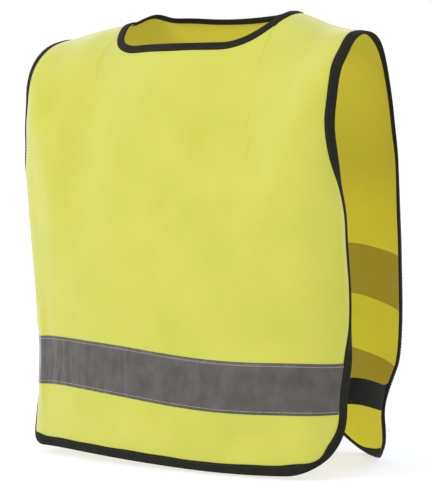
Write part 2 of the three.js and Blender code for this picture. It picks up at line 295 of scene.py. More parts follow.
# The strap's height at each end, and how far inside the panel's edge its route passes
STRAP_HEIGHTS = {"front": -349.0, "back": -363.0}
STRAP_INSETS = (13, 6, 0)
STRAP_RIBS = 7
TACK_INSETS = (5.0, 8.5)
TACK_HALF = 10.0
TACK_LIFT = 0.25
# The seam fold stops short of the tapes at its two ends
SEAM_NECK_INSET = 7.0
SEAM_TIP_INSET = 8.5
SEAM_SECTION = ((-3.2, 0.1), (-2.6, 0.62), (0.0, 0.95), (2.6, 0.62), (3.2, 0.1), (2.6, -0.5), (-2.6, -0.5))
SEAM_STITCH_OFFSET = (0, 1.6, 0.75)


# ---------------------------------------------------------------- painted shade and stage, in metres

# Painted shade dulls the inner face above this height of the pattern, and fully so above the next
SHADE_START = -0.20
SHADE_END = -0.13
CAMERA_AWAY = 2.1
FLOOR_REACH = 12.0
# The tape round the hem reaches a little below the cut edge
FLOOR_DROP = 0.0065
# Each light: its name, its place, its width and its power in watts
LIGHTS = (("key", (-1.5, -2.7, 1.2), 1.2, 40), ("fill", (2.6, -1.6, 0.9), 1.6, 9))


# ---------------------------------------------------------------- the body that the cloth lies on


def plan_curve(s):
    across = np.abs(s)
    chest = np.minimum(across, CHEST_SPAN) / CHEST_R
    wrap = chest + np.maximum(0, across - CHEST_SPAN) / SIDE_R
    x = CHEST_R * np.sin(chest) + SIDE_R * (np.sin(wrap) - np.sin(chest))
    set_back = CHEST_R * (1 - np.cos(chest)) + SIDE_R * (np.cos(chest) - np.cos(wrap))
    return np.sign(s) * x, set_back


def shoulder_z(x):
    share = (np.hypot(x, CENTRE_ROUND) - NECK_HALF_X) / (TIP_HALF_X - NECK_HALF_X)
    return NECK_POINT_Z + (TIP_Z - NECK_POINT_Z) * share


def dome_height(panel, x):
    return blend_between(panel.dome_neck, panel.dome_tip, smooth(np.abs(x), DOME_START_X, TIP_HALF_X))


def body_point(panel, s, q):
    x, set_back = plan_curve(s)
    high = dome_height(panel, x)
    angle = q * math.pi / 2
    z = shoulder_z(x) - high + high * np.where(q > 0, np.sin(angle), angle)
    y = (panel.depth - set_back) * np.where(q > 0, np.cos(angle), 1.0)
    return np.stack(np.broadcast_arrays(x, panel.side * y, z), axis=-1)


def level_of(panel, s, z):
    x, _ = plan_curve(s)
    high = dome_height(panel, x)
    rise = (z - shoulder_z(x) + high) / high
    return np.where(rise > 0, np.arcsin(np.clip(rise, 0, 1)), rise) * 2 / math.pi


def slopes_at(point_at, panel, s, q):
    """How fast the point moves as s grows, and as q grows."""
    by_s = (point_at(panel, s + SLOPE_S, q) - point_at(panel, s - SLOPE_S, q)) / (2 * SLOPE_S)
    by_q = (point_at(panel, s, q + SLOPE_Q) - point_at(panel, s, q - SLOPE_Q)) / (2 * SLOPE_Q)
    return by_s, by_q


def surface_normal(point_at, panel, s, q):
    by_s, by_q = slopes_at(point_at, panel, s, q)
    normal = np.cross(by_s, by_q) * -panel.side
    return normal / np.linalg.norm(normal, axis=-1, keepdims=True)


def fold_relief(panel, s, z):
    relief = np.zeros(np.broadcast(s, z).shape)
    for (s0, z0), (s1, z1), half_width, height in panel.folds:
        length_squared = (s1 - s0) ** 2 + (z1 - z0) ** 2
        share = np.clip(((s - s0) * (s1 - s0) + (z - z0) * (z1 - z0)) / length_squared, 0, 1)
        away_squared = (s - s0 - share * (s1 - s0)) ** 2 + (z - z0 - share * (z1 - z0)) ** 2
        relief += height * np.exp(-away_squared / (2 * half_width**2))
    return relief


def curl_relief(panel, s, z):
    relief = np.zeros(np.broadcast(s, z).shape)
    edge = half_width_at(np.maximum(z, CORNER_TOP_Z))
    for hand, reach, top, bottom, strength in panel.curls:
        window = smooth(z, bottom, bottom + CURL_FADE) * (1 - smooth(z, top - CURL_FADE, top))
        relief += strength * np.maximum(0, s * hand - edge + reach) ** 2 * window
    return relief


def neck_roll(panel, x, z):
    near = np.maximum(0, NECK_ROLL - (panel.neck_z(x) - z)) ** 2
    window = 1 - smooth(np.abs(x), NECK_ROLL_FLAT, NECK_ROLL_END)
    return NECK_ROLL_STRENGTH * near * window * (panel.side > 0)


def hem_roll(panel, s, z):
    near = np.maximum(0, HEM_ROLL - (z - HEM_Z)) ** 2
    window = np.exp(-(((s - HEM_ROLL_S) / HEM_ROLL_REACH) ** 2))
    return HEM_ROLL_STRENGTH * near * window * (panel.side > 0)


def drift(drifts, s, z):
    move = np.zeros((*np.broadcast(s, z).shape, 3))
    for (s0, z0), (reach_s, reach_z), step in drifts:
        share = np.exp(-(((s - s0) / reach_s) ** 2) - ((z - z0) / reach_z) ** 2)
        move += share[..., None] * np.array(step)
    return move


def edge_ease(panel, s, z):
    """The move of the right-hand edge at this height, fading inwards."""
    heights, moves = (np.array(part, dtype=float) for part in zip(*panel.ease[::-1]))
    inset = half_width_at(np.maximum(z, CORNER_TOP_Z)) - s
    return eased(z, heights, moves) * np.exp(-((inset / EASE_REACH) ** 2))[..., None]


def cloth_point(panel, s, q):
    """The middle of the draped cloth: the body with its folds, its sag and the pull of the elastics."""
    base = body_point(panel, s, q)
    x, z = base[..., 0], base[..., 2]
    free = smooth(np.abs(base[..., 1]), 0, FREE_DEPTH)
    relief = fold_relief(panel, s, z) * free + curl_relief(panel, s, z)
    relief += neck_roll(panel, x, z) + hem_roll(panel, s, z)
    base = base + drift(SHOULDER_DRIFTS, s, z) + drift(panel.drifts, s, z) * free[..., None]
    base = base + edge_ease(panel, *np.broadcast_arrays(s, z))
    point = base + surface_normal(body_point, panel, s, q) * relief[..., None]
    drop = np.maximum(0, PULL_TOP_Z - z)
    point[..., 1] -= panel.pull * drop * smooth(np.abs(s), PULL_START_S, PULL_FULL_S) * panel.side
    return point


def cloth_at(panel, s, q, lift):
    """Points held a little off the middle of the cloth, lift millimetres outwards."""
    point = cloth_point(panel, s, q)
    return point + surface_normal(cloth_point, panel, s, q) * np.asarray(lift)[..., None]


# ---------------------------------------------------------------- outline and grid of one panel


def half_width_at(z):
    drop = np.maximum(0, CORNER_TOP_Z - z)
    corner = HALF_WIDTH - CORNER_R + np.sqrt(np.maximum(0, CORNER_R**2 - drop**2))
    flare = ARMHOLE_FLARE * np.clip((z - ARMHOLE_HIGH_Z) / (TIP_Z - ARMHOLE_HIGH_Z), 0, 1) ** 2
    upper = HALF_WIDTH - ARMHOLE_DEPTH * smooth(z, ARMHOLE_LOW_Z, ARMHOLE_HIGH_Z) + flare
    return np.where(z < CORNER_TOP_Z, corner, upper)


def hem_z(s):
    past = np.maximum(0, np.abs(s) - (HALF_WIDTH - CORNER_R))
    return CORNER_TOP_Z - np.sqrt(np.maximum(0, CORNER_R**2 - past**2))


def top_level(panel, s):
    x, set_back = plan_curve(s)
    crest = np.arccos(CREST_GAP / (panel.depth - set_back)) * 2 / math.pi
    neck = level_of(panel, s, panel.neck_z(x))
    return np.where(np.abs(x) > NECK_HALF_X, crest, np.minimum(crest, neck))


def panel_places(panel):
    """Grids of s and q that cover one panel out to its outline."""
    neck_share = NECK_S / CREST_HALF_WIDTH
    inner = np.linspace(0, neck_share, round(NECK_S / MESH_STEP) + 1)
    outer = np.linspace(neck_share, 1, round((HALF_WIDTH - NECK_S) / MESH_STEP) + 1)
    right = np.concatenate([inner[1:], outer[1:]])
    shares = np.concatenate([-right[::-1], [0], right])
    corner_mid = HALF_WIDTH - CORNER_R * (1 - math.sin(math.pi / 4))
    low = hem_z(corner_mid)
    rows_s, rows_q = [], []
    for share in np.linspace(0, 1, round(CORNER_R / MESH_STEP) + 1):
        s = shares * half_width_at(blend_between(low, CORNER_TOP_Z, share))
        z = blend_between(hem_z(shares * corner_mid), CORNER_TOP_Z, share)
        rows_s.append(s)
        rows_q.append(level_of(panel, s, z))
    straight_rows = round((STRAIGHT_TOP_Z - CORNER_TOP_Z) / MESH_STEP)
    for z in np.linspace(CORNER_TOP_Z, STRAIGHT_TOP_Z, straight_rows + 1)[1:]:
        rows_s.append(shares * HALF_WIDTH)
        rows_q.append(level_of(panel, rows_s[-1], z))
    crest_q = top_level(panel, shares * CREST_HALF_WIDTH)
    dome_rows = round(-DOME_STRETCH * STRAIGHT_TOP_Z / MESH_STEP)
    for row in range(1, dome_rows + 1):
        s = shares * CREST_HALF_WIDTH
        for _ in range(SETTLING_ROUNDS):
            q = blend_between(level_of(panel, s, STRAIGHT_TOP_Z), crest_q, row / dome_rows)
            s = shares * half_width_at(body_point(panel, s, q)[..., 2])
        rows_s.append(s)
        rows_q.append(q)
    return np.array(rows_s), np.array(rows_q)


def path_run(points):
    """How far along the path each point is."""
    return np.concatenate([[0], np.cumsum(np.linalg.norm(np.diff(points, axis=0), axis=1))])


def even_path(panel, s, q):
    """The same path over the cloth, with its places an even distance apart."""
    run = path_run(body_point(panel, s, q))
    at = np.linspace(0, run[-1], round(run[-1] / EDGE_STEP) + 1)
    return np.interp(at, run, s), np.interp(at, run, q)


def side_places(panel):
    """One side of the outline, from the shoulder down to the start of the hem."""
    s = np.full(500, CREST_HALF_WIDTH)
    share = np.linspace(0, 1, len(s))
    for _ in range(SETTLING_ROUNDS):
        q = blend_between(top_level(panel, s), level_of(panel, s, CORNER_TOP_Z), share)
        s = half_width_at(body_point(panel, s, q)[..., 2])
    turn = np.linspace(0, math.pi / 2, 120)[1:]
    corner_s = HALF_WIDTH - CORNER_R + CORNER_R * np.cos(turn)
    corner_q = level_of(panel, corner_s, CORNER_TOP_Z - CORNER_R * np.sin(turn))
    return np.concatenate([s, corner_s]), np.concatenate([q, corner_q])


def body_edge_path(panel):
    s, q = side_places(panel)
    across = np.linspace(-s[-1], s[-1], 300)[1:-1]
    hem_q = level_of(panel, across, HEM_Z)
    return even_path(panel, np.concatenate([-s, across, s[::-1]]), np.concatenate([q, hem_q, q[::-1]]))


def neck_path(panel):
    s = NECK_S * np.sin(np.linspace(1, -1, 401) * math.pi / 2)
    crest = top_level(panel, s[:1] + 0.01)
    q = np.concatenate([crest, top_level(panel, s), crest])
    return even_path(panel, np.concatenate([s[:1], s, s[-1:]]), q)


def inward_steps(panel, s, q):
    """For each place on an edge path, the change of s and q for one millimetre in from the edge."""
    along = np.gradient(cloth_point(panel, s, q), axis=0)
    inward = np.cross(surface_normal(cloth_point, panel, s, q), along) * -panel.side
    inward /= np.linalg.norm(inward, axis=1, keepdims=True)
    by_s, by_q = slopes_at(cloth_point, panel, s, q)
    e, f, g = (np.sum(a * b, axis=1) for a, b in ((by_s, by_s), (by_s, by_q), (by_q, by_q)))
    u, v = np.sum(by_s * inward, axis=1), np.sum(by_q * inward, axis=1)
    det = e * g - f * f
    run = path_run(body_point(panel, s, q))
    ends_at_seam = np.abs(s[0]) < NECK_S + 1
    mitre = ends_at_seam * np.exp(-((np.minimum(run, run[-1] - run) / MITRE_REACH) ** 2))
    step_s = blend_between(evened((u * g - v * f) / det), np.sign(s), mitre)
    return step_s, evened((v * e - u * f) / det) * (1 - mitre)


def evened(values):
    """The values with small changes from one to the next smoothed out."""
    for _ in range(6):
        values = np.concatenate([values[:1], (values[:-2] + 2 * values[1:-1] + values[2:]) / 4, values[-1:]])
    return values


def beside_edge(panel, s, q, steps, inset, lift):
    return cloth_at(panel, s + steps[0] * inset, q + steps[1] * inset, lift)


# ---------------------------------------------------------------- meshes


def mesh_object(name, points, faces, uv):
    mesh = bpy.data.meshes.new(name)
    mesh.from_pydata((points * MM).tolist(), [], [list(face) for face in faces])
    layer = mesh.uv_layers.new(name="pattern")
    corner = np.zeros(len(mesh.loops), dtype=np.int32)
    mesh.loops.foreach_get("vertex_index", corner)
    layer.data.foreach_set("uv", (uv[corner] * MM).ravel())
    mesh.update()
    mesh.shade_smooth()
    piece = bpy.data.objects.new(name, mesh)
    bpy.context.scene.collection.objects.link(piece)
    return piece


def grid_faces(rows, columns, start=0):
    r, c = np.meshgrid(np.arange(rows - 1), np.arange(columns - 1), indexing="ij")
    corner = (start + r * columns + c).ravel()
    return np.stack([corner, corner + 1, corner + columns + 1, corner + columns], axis=1)


def closed_sheet(name, outer, inner, uv):
    """Two skins joined by a rim. The outer skin's faces are first, then the inner's, then the rim."""
    rows, columns = outer.shape[:2]
    size = rows * columns
    faces = grid_faces(rows, columns)
    reverse = grid_faces(rows, columns, size)[:, ::-1]
    ring = np.concatenate([
        np.arange(columns),
        np.arange(1, rows) * columns + columns - 1,
        (rows - 1) * columns + np.arange(columns - 2, -1, -1),
        np.arange(rows - 2, 0, -1) * columns,
    ])
    after = np.roll(ring, -1)
    rim = np.stack([ring, ring + size, after + size, after], axis=1)
    points = np.concatenate([outer.reshape(-1, 3), inner.reshape(-1, 3)])
    uv = np.concatenate([uv.reshape(-1, 2)] * 2)
    return face_outwards(mesh_object(name, points, np.concatenate([faces, reverse, rim]), uv))


def face_outwards(piece):
    """Turns every face outwards, by the sign of the volume that the closed mesh holds."""
    mesh = piece.data
    mesh.calc_loop_triangles()
    points = np.zeros(len(mesh.vertices) * 3)
    mesh.vertices.foreach_get("co", points)
    points = points.reshape(-1, 3)
    corners = np.zeros(len(mesh.loop_triangles) * 3, dtype=np.int32)
    mesh.loop_triangles.foreach_get("vertices", corners)
    a, b, c = (points[corners.reshape(-1, 3)[:, i]] - points.mean(axis=0) for i in range(3))
    if np.sum(a * np.cross(b, c)) < 0:
        mesh.flip_normals()
    return piece


def swept_mesh(name, rings, uv_run):
    """A closed solid skinned over rings of points, with flat ends."""
    count, around = rings.shape[:2]
    index = np.arange(count * around).reshape(count, around)
    after = np.roll(index, -1, axis=1)
    faces = np.stack([index[:-1], after[:-1], after[1:], index[1:]], axis=-1).reshape(-1, 4).tolist()
    faces += [index[0][::-1].tolist(), index[-1].tolist()]
    across = path_run(rings[count // 2])
    uv = np.stack(np.meshgrid(uv_run, across, indexing="ij"), axis=-1).reshape(-1, 2)
    return face_outwards(mesh_object(name, rings.reshape(-1, 3), faces, uv))


def even_spline(points, count):
    """A smooth line through a few points, as count even steps."""
    run = path_run(points)
    line = eased(np.linspace(0, run[-1], 400), run, points)
    run = path_run(line)
    even = np.linspace(0, run[-1], count + 1)
    return np.stack([np.interp(even, run, line[:, i]) for i in range(3)], axis=1)


# ---------------------------------------------------------------- materials


def linear(hex_colour):
    """A colour written as #rrggbb in sRGB, as the linear RGBA that the shader works in."""
    values = [int(hex_colour[i : i + 2], 16) / 255 for i in (1, 3, 5)]
    return [v / 12.92 if v <= 0.04045 else ((v + 0.055) / 1.055) ** 2.4 for v in values] + [1.0]


def add_node(tree, kind, settings=None, *sources, **links):
    """Adds a node with these properties and sockets, fed in order by sources and by name by links."""
    node = tree.nodes.new(kind)
    for key, value in (settings or {}).items():
        if hasattr(node, key):
            setattr(node, key, value)
        else:
            node.inputs[key].default_value = value
    sockets = [socket for socket in node.inputs if socket.enabled]
    named = {socket.name.replace(" ", "_"): socket for socket in reversed(sockets)}
    for socket, source in [*zip(sockets, sources), *((named[key], links[key]) for key in links)]:
        if isinstance(source, bpy.types.NodeSocket):
            tree.links.new(source, socket)
        else:
            socket.default_value = source
    return node


def new_material(name, **shader):
    """A material, its node tree and the inputs of its shader, some of them set."""
    material = bpy.data.materials.new(name)
    material.use_nodes = True
    inputs = material.node_tree.nodes["Principled BSDF"].inputs
    for key, value in shader.items():
        inputs[key.replace("_", " ")].default_value = value
    return material, material.node_tree, inputs


def mottled_colour(tree, coordinate, dark, light, size_mm):
    """Colour that drifts between two tones over patches of about size_mm."""
    settings = {"Scale": 1 / (size_mm * MM), "Detail": 3.0}
    noise = add_node(tree, "ShaderNodeTexNoise", settings, Vector=coordinate)
    ramp = add_node(tree, "ShaderNodeValToRGB", None, Fac=noise.outputs["Fac"])
    for element, place, tone in zip(ramp.color_ramp.elements, (0.3, 0.7), (dark, light)):
        element.position = place
        element.color = linear(tone)
    return ramp.outputs["Color"]


def ribs(tree, coordinate, spacing_mm, direction):
    """Even ridges, spacing_mm apart, across the U or the V of the pattern."""
    # At a scale of 1 this texture has a ridge every 2 pi / 20
    scale = 2 * math.pi / 20 / (spacing_mm * MM)
    settings = {"wave_type": "BANDS", "bands_direction": direction, "Scale": scale, "Distortion": 0.6,
                "Detail": 1.0, "Detail Scale": 2.0}
    return add_node(tree, "ShaderNodeTexWave", settings, Vector=coordinate).outputs["Fac"]


def reverse_colour(tree, uv, colour, look, tops):
    """The inner face's colour, with painted shade: duller up by the shoulders, and a painted band shadow
    where a band backs the cloth.
    """
    rise = add_node(tree, "ShaderNodeSeparateXYZ", None, Vector=uv).outputs["Y"]
    # Painted shade: the inner face is darker towards the shoulders
    settings = {"interpolation_type": "SMOOTHSTEP", "From Min": SHADE_START, "From Max": SHADE_END}
    upper = add_node(tree, "ShaderNodeMapRange", settings, Value=rise).outputs["Result"]
    # Painted shadow: the inner face darkens where a band on the outer face blocks the light through the
    # cloth
    half = bpy.context.scene.vest_sizes.band_height / 2
    band_shadowed = 0.0
    for top in tops:
        inside = add_node(tree, "ShaderNodeMath", {"operation": "COMPARE"}, rise, top * MM - half, half)
        either = add_node(tree, "ShaderNodeMath", {"operation": "MAXIMUM"}, band_shadowed, inside.outputs[0])
        band_shadowed = either.outputs[0]
    for share, tone in ((upper, look.reverse_upper), (band_shadowed, look.band_shadow_through)):
        mix = add_node(tree, "ShaderNodeMix", {"data_type": "RGBA"}, share, colour, linear(tone))
        colour = next(socket for socket in mix.outputs if socket.enabled)
    return colour


def knit_material(name, dark, light, look, tops=()):
    """Warp-knitted polyester, dyed fluorescent: matt, with fine loops in columns and a pale nap."""
    material, tree, shader = new_material(name, Roughness=0.85, Specular_IOR_Level=0.2, Sheen_Weight=0.6,
                                          Sheen_Roughness=0.45)
    uv = add_node(tree, "ShaderNodeUVMap", {"uv_map": "pattern"}).outputs["UV"]
    colour = mottled_colour(tree, uv, dark, light, 60)
    if tops:
        colour = reverse_colour(tree, uv, colour, look, tops)
    tree.links.new(colour, shader["Base Color"])
    # Real loops are about 1 mm apart; they are drawn a little coarser so that they show
    columns, courses = ribs(tree, uv, look.wale_mm, "X"), ribs(tree, uv, look.course_mm, "Y")
    loops = add_node(tree, "ShaderNodeMath", {"operation": "MULTIPLY"}, columns, courses).outputs[0]
    bump = add_node(tree, "ShaderNodeBump", {"Strength": 0.3, "Distance": 0.0002}, Height=loops)
    tree.links.new(bump.outputs["Normal"], shader["Normal"])
    return material


def reverse_material(name, look, tops):
    """The inner face of the knit, with painted shade, and a painted glow for the light that comes through
    the cloth.
    """
    # The inner face is the same cloth as the outer face; its own tones are painted shade and painted light
    # from through the cloth
    material = knit_material(name, look.reverse_dark, look.reverse_light, look, tops)
    shader = material.node_tree.nodes["Principled BSDF"].inputs
    # Painted light: the emission stands in for light that comes through the cloth
    shader["Emission Color"].default_value = linear(look.glow)
    shader["Emission Strength"].default_value = 0.13
    shader["Sheen Weight"].default_value = 0.05
    return material


def woven_material(name, dark, light, spacing_mm, roughness, gloss, strength):
    """Woven or braided polyester: close ridges along and across, and a slight drift of tone."""
    material, tree, shader = new_material(name, Roughness=roughness, Specular_IOR_Level=gloss)
    uv = add_node(tree, "ShaderNodeUVMap", {"uv_map": "pattern"}).outputs["UV"]
    tree.links.new(mottled_colour(tree, uv, dark, light, 9), shader["Base Color"])
    along, across = ribs(tree, uv, spacing_mm, "X"), ribs(tree, uv, spacing_mm * 1.4, "Y")
    ridges = add_node(tree, "ShaderNodeMath", {"operation": "ADD"}, along, across).outputs[0]
    bump = add_node(tree, "ShaderNodeBump", {"Strength": strength, "Distance": 0.0002}, Height=ridges)
    tree.links.new(bump.outputs["Normal"], shader["Normal"])
    return material


def tape_material(name, look):
    """Reflective tape: glass beads bonded to grey cloth, so satin grey with a fine grain and creases."""
    material, tree, shader = new_material(name, Specular_IOR_Level=0.5, Sheen_Weight=0.7,
                                          Sheen_Roughness=0.35)
    uv = add_node(tree, "ShaderNodeUVMap", {"uv_map": "pattern"}).outputs["UV"]
    tree.links.new(mottled_colour(tree, uv, look.tape_dark, look.tape_light, 17), shader["Base Color"])
    grain = add_node(tree, "ShaderNodeTexNoise", {"Scale": 1500.0, "Detail": 2.0}, Vector=uv).outputs["Fac"]
    spread = add_node(tree, "ShaderNodeMapRange", {"To Min": 0.36, "To Max": 0.52}, Value=grain)
    tree.links.new(spread.outputs["Result"], shader["Roughness"])
    # The creases run aslant across the tape and are longer than they are wide
    slant = add_node(tree, "ShaderNodeMapping", {"Rotation": (0, 0, 0.8), "Scale": (1.0, 0.3, 1.0)},
                     Vector=uv)
    creases = add_node(tree, "ShaderNodeTexNoise", {"Scale": 60.0, "Detail": 1.5, "Distortion": 0.3},
                       Vector=slant.outputs["Vector"])
    fine = add_node(tree, "ShaderNodeBump", {"Strength": 0.15, "Distance": 0.0001}, Height=grain)
    bump = add_node(tree, "ShaderNodeBump", {"Strength": 0.7, "Distance": 0.006},
                    Height=creases.outputs["Fac"], Normal=fine.outputs["Normal"])
    tree.links.new(bump.outputs["Normal"], shader["Normal"])
    return material


def thread_material(name, dark, light):
    """Spun polyester sewing thread: a soft sheen and a little fuzz."""
    material, tree, shader = new_material(name, Roughness=0.6, Specular_IOR_Level=0.4)
    coordinate = add_node(tree, "ShaderNodeTexCoord").outputs["Object"]
    tree.links.new(mottled_colour(tree, coordinate, dark, light, 2), shader["Base Color"])
    return material


def material_named(name):
    """The finish of that name, made the first time that a piece asks for it."""
    if name in bpy.data.materials:
        return bpy.data.materials[name]
    look = bpy.context.scene.vest_looks
    makers = {
        "fluorescent_knit_face": lambda: knit_material(name, look.cloth_dark, look.cloth_light, look),
        "fluorescent_knit_reverse_front": lambda: reverse_material(name, look, band_tops(FRONT)),
        "fluorescent_knit_reverse_back": lambda: reverse_material(name, look, band_tops(BACK)),
        "woven_bias_tape": lambda: woven_material(
            name, look.binding_dark, look.binding_light, spacing_mm=0.9, roughness=0.8, gloss=0.2,
            strength=0.5),
        "knitted_elastic": lambda: woven_material(
            name, look.elastic_dark, look.elastic_light, spacing_mm=1.6, roughness=0.85, gloss=0.15,
            strength=0.8),
        "reflective_glass_bead_tape": lambda: tape_material(name, look),
        "grey_thread": lambda: thread_material(name, "#9a9791", "#bab7b0"),
        "black_thread": lambda: thread_material(name, "#1c1b16", "#2c2b25"),
        "yellow_thread": lambda: thread_material(name, "#b2b440", "#c2c452"),
    }
    return makers[name]()


# ---------------------------------------------------------------- stitches by geometry nodes


def stitch_tree(name):
    """Geometry nodes that lay rounded stitches end to end along a path."""
    tree = bpy.data.node_groups.new(name, "GeometryNodeTree")
    inputs = {"Path": "Geometry", "Pitch": "Float", "Stitch Length": "Float", "Thread Radius": "Float",
              "Thread": "Material"}
    for label, kind in inputs.items():
        tree.interface.new_socket(label, in_out="INPUT", socket_type=f"NodeSocket{kind}")
    tree.interface.new_socket("Stitches", in_out="OUTPUT", socket_type="NodeSocketGeometry")
    given = add_node(tree, "NodeGroupInput").outputs
    radius = given["Thread Radius"]
    curve = add_node(tree, "GeometryNodeMeshToCurve", None, Mesh=given["Path"])
    points = add_node(tree, "GeometryNodeCurveToPoints", {"mode": "LENGTH"}, Curve=curve.outputs["Curve"],
                      Length=given["Pitch"])
    ball = add_node(tree, "GeometryNodeMeshUVSphere", {"Segments": 6, "Rings": 5}, Radius=radius)
    half = add_node(tree, "ShaderNodeMath", {"operation": "MULTIPLY"}, given["Stitch Length"], 0.5)
    stretch = add_node(tree, "ShaderNodeMath", {"operation": "DIVIDE"}, half.outputs[0], radius)
    scale = add_node(tree, "ShaderNodeCombineXYZ", None, 1.0, 1.0, stretch.outputs[0])
    shape = add_node(tree, "GeometryNodeTransform", None, Geometry=ball.outputs["Mesh"],
                     Scale=scale.outputs["Vector"])
    placed = add_node(tree, "GeometryNodeInstanceOnPoints", None, Points=points.outputs["Points"],
                      Rotation=points.outputs["Rotation"], Instance=shape.outputs["Geometry"])
    solid = add_node(tree, "GeometryNodeRealizeInstances", None, Geometry=placed.outputs["Instances"])
    finish = add_node(tree, "GeometryNodeSetMaterial", None, Geometry=solid.outputs["Geometry"],
                      Material=given["Thread"])
    add_node(tree, "NodeGroupOutput", None, Stitches=finish.outputs["Geometry"])
    return tree


def stitch_row(name, lines, thread, stitch):
    """One piece holding an even row of stitches along each of the given lines."""
    pitch, length, radius = stitch
    path = bpy.data.meshes.new(name + "_path")
    points, edges = [], []
    for line in lines:
        start = len(points)
        points += (line * MM).tolist()
        edges += [(i, i + 1) for i in range(start, len(points) - 1)]
    path.from_pydata(points, edges, [])
    guide = bpy.data.objects.new(name + "_path", path)
    bpy.context.scene.collection.objects.link(guide)
    tree = bpy.data.node_groups.get("stitches") or stitch_tree("stitches")
    modifier = guide.modifiers.new("stitches", "NODES")
    modifier.node_group = tree
    values = {"Pitch": pitch * MM, "Stitch Length": length * MM, "Thread Radius": radius * MM,
              "Thread": material_named(thread)}
    for item in tree.interface.items_tree:
        if item.name in values:
            modifier[item.identifier] = values[item.name]
    bpy.context.view_layer.update()
    evaluated = guide.evaluated_get(bpy.context.evaluated_depsgraph_get())
    mesh = bpy.data.meshes.new_from_object(evaluated)
    mesh.name = name
    guide.modifiers.remove(modifier)
    bpy.data.objects.remove(guide)
    piece = bpy.data.objects.new(name, mesh)
    bpy.context.scene.collection.objects.link(piece)
    mesh.shade_smooth()
    return piece


# ---------------------------------------------------------------- joining pieces to the frame


def hang(piece, panel, node):
    """A front piece that reaches the shoulder seam is baked in place on no body; a back piece stays with its
    body.
    """
    if panel is FRONT:
        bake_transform(piece)
    else:
        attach(piece, "back")
    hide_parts(node)


def sew_on(piece, panel, node):
    """A piece below the shoulders moves with the panel that it is sewn to."""
    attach(piece, panel.name)
    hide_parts(node)


# ---------------------------------------------------------------- the pieces


# Each band: the panel that it is sewn to, and the height of its top edge
BANDS = {
    "front_reflective_band": (FRONT, -315.0),
    "back_upper_reflective_band": (BACK, -223.0),
    "back_lower_reflective_band": (BACK, -321.0),
}


def band_tops(panel):
    return [top for owner, top in BANDS.values() if owner is panel]


def build_panel(panel):
    s, q = panel_places(panel)
    outer, inner = cloth_at(panel, s, q, CLOTH_HALF), cloth_at(panel, s, q, -CLOTH_HALF)
    uv = np.stack([s, body_point(panel, s, q)[..., 2]], axis=-1)
    piece = closed_sheet(f"{panel.name}_knit_panel", outer, inner, uv)
    piece.data.materials.append(material_named("fluorescent_knit_face"))
    piece.data.materials.append(material_named(f"fluorescent_knit_reverse_{panel.name}"))
    skin_faces = (s.shape[0] - 1) * (s.shape[1] - 1)
    kinds = np.zeros(len(piece.data.polygons), dtype=np.int32)
    kinds[skin_faces : 2 * skin_faces] = 1
    piece.data.polygons.foreach_set("material_index", kinds)
    hang(piece, panel, f"{panel.name}_panel")
    return piece


def tape_profile(width):
    """Section of the folded tape, as distance in from the cloth's edge and lift off its middle."""
    wall, bulge = CLOTH_HALF + TAPE_WALL, CLOTH_HALF + TAPE_BULGE
    outer = [(width, wall - 0.2), (width, wall + 0.15), (width * 0.93, bulge - 0.15), (width * 0.72, bulge),
             (width * 0.4, bulge + 0.1), (width * 0.12, bulge + 0.05), (-0.5, bulge - 0.3), (-1.0, 0.5)]
    inner = [(d, -lift) for d, lift in outer[::-1]]
    return [*outer, (-1.1, 0.0), *inner]


def build_binding(panel, part, path, width):
    """The tape folded over one stretch of a panel's edge, and its stitches on both faces."""
    node = f"{panel.name}_{part}_binding"
    s, q = path(panel)
    steps = inward_steps(panel, s, q)
    run = path_run(cloth_point(panel, s, q))
    # The tape's free edges waver by a few hundredths of its width
    waver = 1 + 0.03 * np.sin(run / 23) + 0.02 * np.sin(run / 7.3 + 1)
    rings = [beside_edge(panel, s, q, steps, inset * (waver if inset > 2 else 1), lift)
             for inset, lift in tape_profile(width)]
    tape = swept_mesh(node + "_tape", np.stack(rings, axis=1), run)
    tape.data.materials.append(material_named("woven_bias_tape"))
    hang(tape, panel, node)
    lines = [beside_edge(panel, s, q, steps, width - TAPE_STITCH_INSET, lift)[1:-1]
             for lift in (CLOTH_HALF + TAPE_BULGE, -CLOTH_HALF - TAPE_BULGE)]
    stitches = stitch_row(node + "_stitches", lines, "black_thread", BINDING_STITCH)
    hang(stitches, panel, node + "_stitching")


def build_band(name, panel, top):
    sizes = bpy.context.scene.vest_sizes
    height = sizes.band_height / MM
    end = HALF_WIDTH - sizes.binding_width / MM + BAND_TUCK
    across = np.linspace(-end, end, round(2 * end / MESH_STEP) + 1)
    up = np.linspace(top - height, top, round(height / MESH_STEP) + 1)
    s, z = np.meshgrid(across, up)
    q = level_of(panel, s, z)
    thin = BAND_THICK * (0.55 + 0.45 * smooth(np.minimum(z - up[0], up[-1] - z), 0, 2))
    outer, inner = cloth_at(panel, s, q, BAND_LIFT + thin), cloth_at(panel, s, q, BAND_LIFT)
    piece = closed_sheet(name + "_tape", outer, inner, np.stack([s, z], axis=-1))
    piece.data.materials.append(material_named("reflective_glass_bead_tape"))
    sew_on(piece, panel, name)


def build_band_stitches(name, panel, top):
    sizes = bpy.context.scene.vest_sizes
    height, inset = sizes.band_height / MM, sizes.stitch_inset / MM
    end = HALF_WIDTH - sizes.binding_width / MM - 1
    s = np.linspace(-end, end, 200)
    for row, z in (("upper", top - inset), ("lower", top - height + inset)):
        line = cloth_at(panel, s, level_of(panel, s, z), BAND_LIFT + BAND_THICK)
        piece = stitch_row(f"{name}_{row}_stitches", [line], "grey_thread", BAND_STITCH)
        sew_on(piece, panel, f"{name}_{row}_stitching")


def pattern_height(panel, s, z):
    """The height on the pattern of the place at s that hangs at the height z."""
    rise = z + 0 * s
    for _ in range(6):
        rise = rise - cloth_point(panel, s, level_of(panel, s, rise))[..., 2] + z
    return rise


